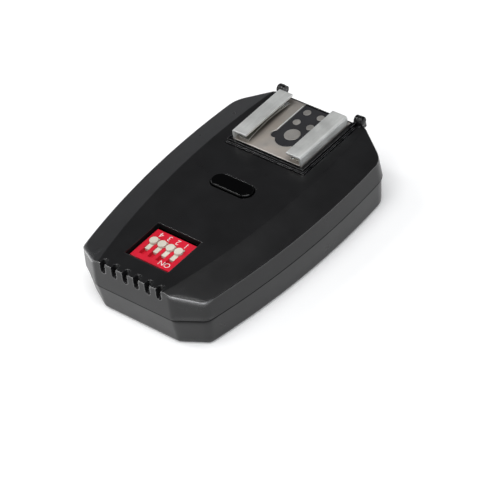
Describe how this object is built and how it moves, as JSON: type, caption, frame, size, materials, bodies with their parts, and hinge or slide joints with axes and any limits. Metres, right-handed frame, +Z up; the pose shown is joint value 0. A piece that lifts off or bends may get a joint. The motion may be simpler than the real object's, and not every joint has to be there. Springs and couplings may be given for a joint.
{
  "type": "wireless flash trigger",
  "caption": "Hand-size radio receiver for a flash unit: flat black case, red code switch, test button, tilting hot shoe on top, sliding battery door below.",
  "frame": {"origin": "centre of the case's flat underside", "axes": "+Z up out of the top panel, +Y from the code switch end towards the hinge end, +X to the right seen from the front end"},
  "size_m": [0.0476, 0.072, 0.0191],
  "materials": {
    "case_black": "satin",
    "door_black": "satin",
    "switch_red": "satin",
    "slider_white": "satin",
    "button_black": "gloss",
    "knob_black": "matt",
    "plate_black": "satin",
    "nickel_steel": "satin",
    "spring_steel": "satin",
    "contact_metal": "satin",
    "block_black": "matt",
    "pin_steel": "bright",
    "screw_steel": "satin",
    "insert_brass": "satin",
    "cell_wrap": "satin",
    "board_green": "satin",
    "chip_black": "matt",
    "can_metal": "bright",
    "led_lens": "clear",
    "socket_black": "satin",
    "copper_wire": "bright"
  },
  "bodies": {
    "case": {"upper_shell": "case_black", "lower_shell": "case_black", "battery_cell_left": "cell_wrap", "battery_cell_right": "cell_wrap", "contact_near_left": "contact_metal", "contact_near_right": "contact_metal", "contact_far_bridge": "contact_metal", "battery_spring_left": "spring_steel", "battery_spring_right": "spring_steel", "main_board": "board_green", "main_board_screws": "screw_steel", "code_switch_body": "switch_red", "code_switch_pins": "can_metal", "rf_module": "board_green", "crystal_can": "can_metal", "rf_chip": "chip_black", "controller_chip": "chip_black", "antenna_coil": "copper_wire", "upper_board": "board_green", "upper_board_screws": "screw_steel", "tact_switch": "can_metal", "status_led": "led_lens", "power_switch_body": "can_metal", "sync_socket": "socket_black", "tripod_insert": "insert_brass", "case_screws": "screw_steel", "hinge_pins": "pin_steel"},
    "door": {"battery_door": "door_black"},
    "button": {"test_button": "button_black"},
    "slider_1": {"code_slider_1": "slider_white"},
    "slider_2": {"code_slider_2": "slider_white"},
    "slider_3": {"code_slider_3": "slider_white"},
    "slider_4": {"code_slider_4": "slider_white"},
    "power_knob": {"power_switch_knob": "knob_black"},
    "shoe": {"tilt_plate": "plate_black", "shoe_rails": "nickel_steel", "shoe_leaf_springs": "spring_steel", "contact_block": "block_black", "main_contact": "contact_metal", "side_contacts": "contact_metal"}
  },
  "joints": [
    {"name": "shoe_tilt", "type": "hinge", "parent": "case", "child": "shoe", "pos_m": [0, 0.0348, 0.0165], "axis": [-1, 0, 0], "range_deg": [0, 90]},
    {"name": "test_press", "type": "slide", "parent": "case", "child": "button", "axis": [0, 0, -1], "range_m": [0, 0.00035], "stiffness_N_per_m": 2500, "springref_m": -0.0001},
    {"name": "door_slide", "type": "slide", "parent": "case", "child": "door", "axis": [0, 1, 0], "range_m": [0, 0.052]},
    {"name": "power_slide", "type": "slide", "parent": "case", "child": "power_knob", "axis": [0, 1, 0], "range_m": [0, 0.002]},
    {"name": "code_1", "type": "slide", "parent": "case", "child": "slider_1", "axis": [0, -1, 0], "range_m": [0, 0.0015]},
    {"name": "code_2", "type": "slide", "parent": "case", "child": "slider_2", "axis": [0, -1, 0], "range_m": [0, 0.0015]},
    {"name": "code_3", "type": "slide", "parent": "case", "child": "slider_3", "axis": [0, -1, 0], "range_m": [0, 0.0015]},
    {"name": "code_4", "type": "slide", "parent": "case", "child": "slider_4", "axis": [0, -1, 0], "range_m": [0, 0.0015]}
  ]
}
